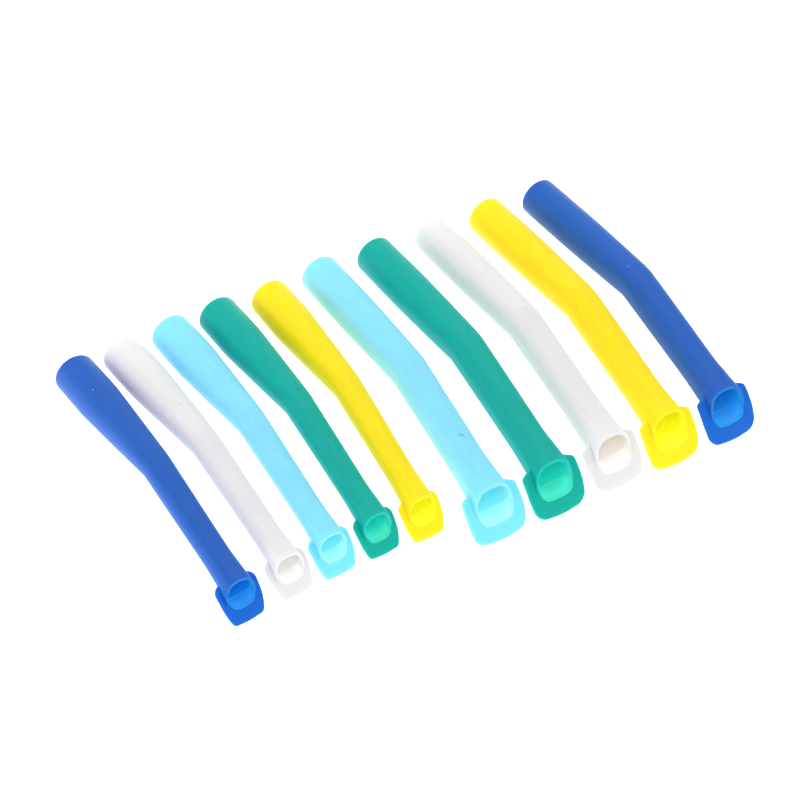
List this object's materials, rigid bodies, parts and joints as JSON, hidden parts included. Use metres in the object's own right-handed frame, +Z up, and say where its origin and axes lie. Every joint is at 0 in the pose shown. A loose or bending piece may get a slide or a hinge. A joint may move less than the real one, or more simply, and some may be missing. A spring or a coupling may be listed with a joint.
{
  "type": "saliva ejector tip set",
  "caption": "Row of loose dental suction tips, large and small: bent hollow moulded tubes, each with a round hose end, a slanted mouth and a curved shield, in several colours.",
  "frame": {"origin": "on the table, under the middle of the row's box", "axes": "+Z up, +X along the row from the small tips to the large ones, mouths towards -Y and round hose ends towards +Y"},
  "size_m": [0.1602, 0.0938, 0.0187],
  "materials": {
    "blue_plastic": "satin, slightly see-through moulded plastic",
    "white_plastic": "satin, slightly see-through moulded plastic",
    "cyan_plastic": "satin, slightly see-through moulded plastic",
    "green_plastic": "satin, slightly see-through moulded plastic",
    "yellow_plastic": "satin, slightly see-through moulded plastic"
  },
  "bodies": {
    "small_blue_tip_body": {"small_blue_tip": "blue_plastic"},
    "small_white_tip_body": {"small_white_tip": "white_plastic"},
    "small_cyan_tip_body": {"small_cyan_tip": "cyan_plastic"},
    "small_green_tip_body": {"small_green_tip": "green_plastic"},
    "small_yellow_tip_body": {"small_yellow_tip": "yellow_plastic"},
    "large_cyan_tip_body": {"large_cyan_tip": "cyan_plastic"},
    "large_green_tip_body": {"large_green_tip": "green_plastic"},
    "large_white_tip_body": {"large_white_tip": "white_plastic"},
    "large_yellow_tip_body": {"large_yellow_tip": "yellow_plastic"},
    "large_blue_tip_body": {"large_blue_tip": "blue_plastic"}
  },
  "joints": [
    {"name": "small_blue_lift", "type": "slide", "parent": "large_cyan_tip_body", "child": "small_blue_tip_body", "axis": [0, 0, 1], "range_m": [0, 0.06]},
    {"name": "small_white_lift", "type": "slide", "parent": "large_cyan_tip_body", "child": "small_white_tip_body", "axis": [0, 0, 1], "range_m": [0, 0.06]},
    {"name": "small_cyan_lift", "type": "slide", "parent": "large_cyan_tip_body", "child": "small_cyan_tip_body", "axis": [0, 0, 1], "range_m": [0, 0.06]},
    {"name": "small_green_lift", "type": "slide", "parent": "large_cyan_tip_body", "child": "small_green_tip_body", "axis": [0, 0, 1], "range_m": [0, 0.06]},
    {"name": "small_yellow_lift", "type": "slide", "parent": "large_cyan_tip_body", "child": "small_yellow_tip_body", "axis": [0, 0, 1], "range_m": [0, 0.06]},
    {"name": "large_green_lift", "type": "slide", "parent": "large_cyan_tip_body", "child": "large_green_tip_body", "axis": [0, 0, 1], "range_m": [0, 0.06]},
    {"name": "large_white_lift", "type": "slide", "parent": "large_cyan_tip_body", "child": "large_white_tip_body", "axis": [0, 0, 1], "range_m": [0, 0.06]},
    {"name": "large_yellow_lift", "type": "slide", "parent": "large_cyan_tip_body", "child": "large_yellow_tip_body", "axis": [0, 0, 1], "range_m": [0, 0.06]},
    {"name": "large_blue_lift", "type": "slide", "parent": "large_cyan_tip_body", "child": "large_blue_tip_body", "axis": [0, 0, 1], "range_m": [0, 0.06]}
  ]
}
